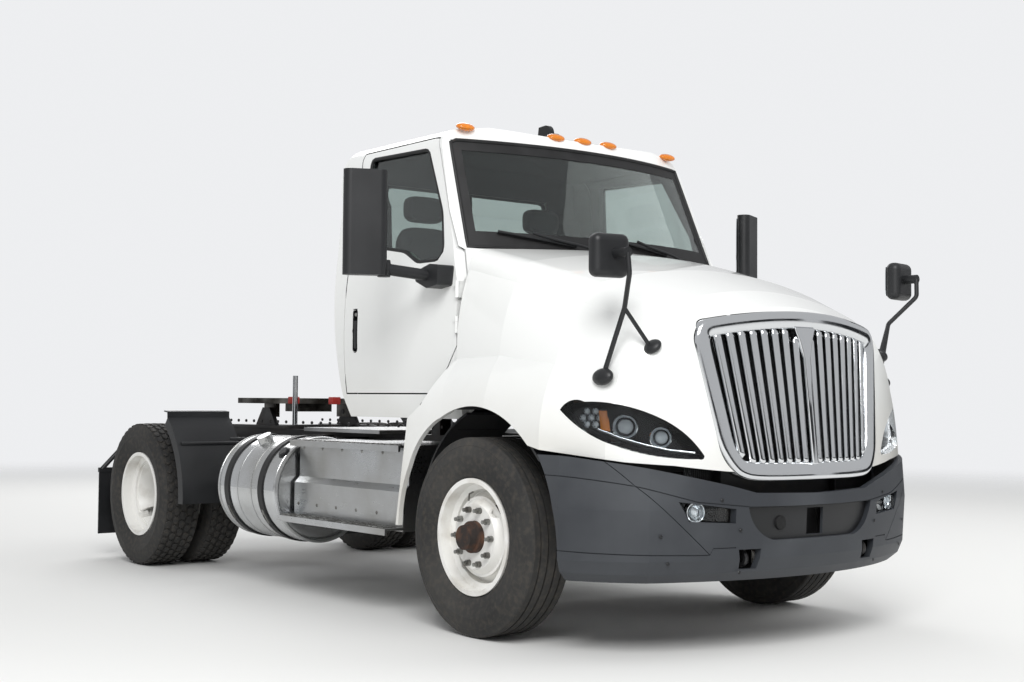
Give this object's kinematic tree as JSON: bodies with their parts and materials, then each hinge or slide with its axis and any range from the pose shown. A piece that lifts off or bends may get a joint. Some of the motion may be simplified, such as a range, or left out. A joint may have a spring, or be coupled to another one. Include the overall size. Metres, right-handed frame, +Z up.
{
  "type": "two-axle day-cab semi truck tractor unit",
  "caption": "White conventional day-cab tractor unit with a tilting hood, opening doors, steered front axle, twin rear wheels and a rocking fifth wheel.",
  "frame": {"origin": "on the ground under the middle of the vehicle's length, on its centre line", "axes": "+Z up; the front faces -Y; +X is the vehicle's own left, the driver's side"},
  "size_m": [3.182, 6.1397, 2.8787],
  "materials": {
    "white_paint": "gloss white cab enamel",
    "black_paint": "satin black chassis paint",
    "dark_plastic": "grained dark grey moulding",
    "chrome": "bright plated",
    "aluminium": "bright rolled sheet",
    "rubber": "worn road tyre",
    "wheel_steel": "white painted steel disc",
    "cast_iron": "rough cast with surface rust",
    "steel": "greasy worn steel",
    "glass": "clear laminated",
    "lamp_lens": "clear moulded lens",
    "amber": "amber moulded lens",
    "red_lens": "red moulded lens",
    "trim_grey": "soft grey interior trim",
    "seat_fabric": "woven dark grey"
  },
  "bodies": {
    "chassis": {"frame": "black_paint", "front_axle": "cast_iron", "front_springs": "black_paint", "rear_axle": "cast_iron", "rear_suspension": "black_paint", "powertrain": "cast_iron", "radiator": "aluminium", "bumper": "dark_plastic", "bumper_brackets": "black_paint", "fog_lamps": "lamp_lens", "splash_guards": "dark_plastic", "cab": "white_paint", "windscreen": "glass", "back_window": "glass", "dashboard": "trim_grey", "seat_driver": "seat_fabric", "seat_passenger": "seat_fabric", "roof_lamps": "amber", "roof_antenna": "dark_plastic", "fuel_tanks": "aluminium", "tank_straps": "black_paint", "step_boxes": "aluminium", "deck_plate": "aluminium", "quarter_fenders": "black_paint", "mudflaps": "dark_plastic", "tail_lamps": "red_lens", "fifth_wheel_base": "black_paint", "hood_hinge": "black_paint", "exhaust": "steel", "cab_mounts": "black_paint", "door_hinges": "white_paint"},
    "hood": {"hood": "white_paint", "headlamps": "lamp_lens", "grille_surround": "chrome", "grille_bars": "chrome", "arch_liners": "dark_plastic", "hood_mirrors": "dark_plastic"},
    "door_left": {"door_left": "white_paint", "door_glass_left": "glass", "door_mirror_left": "dark_plastic"},
    "door_right": {"door_right": "white_paint", "door_glass_right": "glass", "door_mirror_right": "dark_plastic"},
    "knuckle_left": {"knuckle_left": "cast_iron"},
    "knuckle_right": {"knuckle_right": "cast_iron"},
    "tie_rod": {"tie_rod": "steel"},
    "front_wheel_left": {"front_tyre_left": "rubber", "front_wheel_left": "wheel_steel"},
    "front_wheel_right": {"front_tyre_right": "rubber", "front_wheel_right": "wheel_steel"},
    "rear_wheels_left": {"rear_tyres_left": "rubber", "rear_wheels_left": "wheel_steel"},
    "rear_wheels_right": {"rear_tyres_right": "rubber", "rear_wheels_right": "wheel_steel"},
    "steering_wheel": {"steering_wheel": "trim_grey"},
    "fifth_wheel_plate": {"fifth_wheel_plate": "steel"}
  },
  "joints": [
    {"name": "hood_tilt", "type": "hinge", "parent": "chassis", "child": "hood", "pos_m": [0, -2.938, 0.88], "axis": [1, 0, 0], "range_deg": [0, 70]},
    {"name": "door_left_swing", "type": "hinge", "parent": "chassis", "child": "door_left", "pos_m": [1.052, -1.484, 1.78], "axis": [0, 0, -1], "range_deg": [0, 70]},
    {"name": "door_right_swing", "type": "hinge", "parent": "chassis", "child": "door_right", "pos_m": [-1.052, -1.484, 1.78], "axis": [0, 0, 1], "range_deg": [0, 70]},
    {"name": "steer_left", "type": "hinge", "parent": "chassis", "child": "knuckle_left", "pos_m": [0.9, -1.8, 0.508], "axis": [0, 0, 1], "range_deg": [-38, 38]},
    {"name": "steer_right", "type": "hinge", "parent": "chassis", "child": "knuckle_right", "pos_m": [-0.9, -1.8, 0.508], "axis": [0, 0, 1], "range_deg": [-38, 38]},
    {"name": "tie_rod_pivot", "type": "hinge", "parent": "knuckle_left", "child": "tie_rod", "pos_m": [0.9, -1.58, 0.376], "axis": [0, 0, 1], "range_deg": [-38, 38]},
    {"name": "steering_wheel_turn", "type": "hinge", "parent": "chassis", "child": "steering_wheel", "pos_m": [0.47, -1.07, 1.96], "axis": [0, 0.5501, 0.8351], "range_deg": [-684, 684]},
    {"name": "front_wheel_left_roll", "type": "hinge", "parent": "knuckle_left", "child": "front_wheel_left", "pos_m": [1.06, -1.8, 0.508], "axis": [1, 0, 0], "continuous": true},
    {"name": "front_wheel_right_roll", "type": "hinge", "parent": "knuckle_right", "child": "front_wheel_right", "pos_m": [-1.06, -1.8, 0.508], "axis": [1, 0, 0], "continuous": true},
    {"name": "rear_wheels_left_roll", "type": "hinge", "parent": "chassis", "child": "rear_wheels_left", "pos_m": [0.925, 2.17, 0.508], "axis": [1, 0, 0], "continuous": true},
    {"name": "rear_wheels_right_roll", "type": "hinge", "parent": "chassis", "child": "rear_wheels_right", "pos_m": [-0.925, 2.17, 0.508], "axis": [1, 0, 0], "continuous": true},
    {"name": "fifth_wheel_rock", "type": "hinge", "parent": "chassis", "child": "fifth_wheel_plate", "pos_m": [0, 1.85, 1.105], "axis": [1, 0, 0], "range_deg": [-12, 12]}
  ],
  "couplings": [
    {"joint": "steer_right", "follows": "steer_left", "ratio": 1},
    {"joint": "tie_rod_pivot", "follows": "steer_left", "ratio": -1},
    {"joint": "steering_wheel_turn", "follows": "steer_left", "ratio": 18}
  ]
}
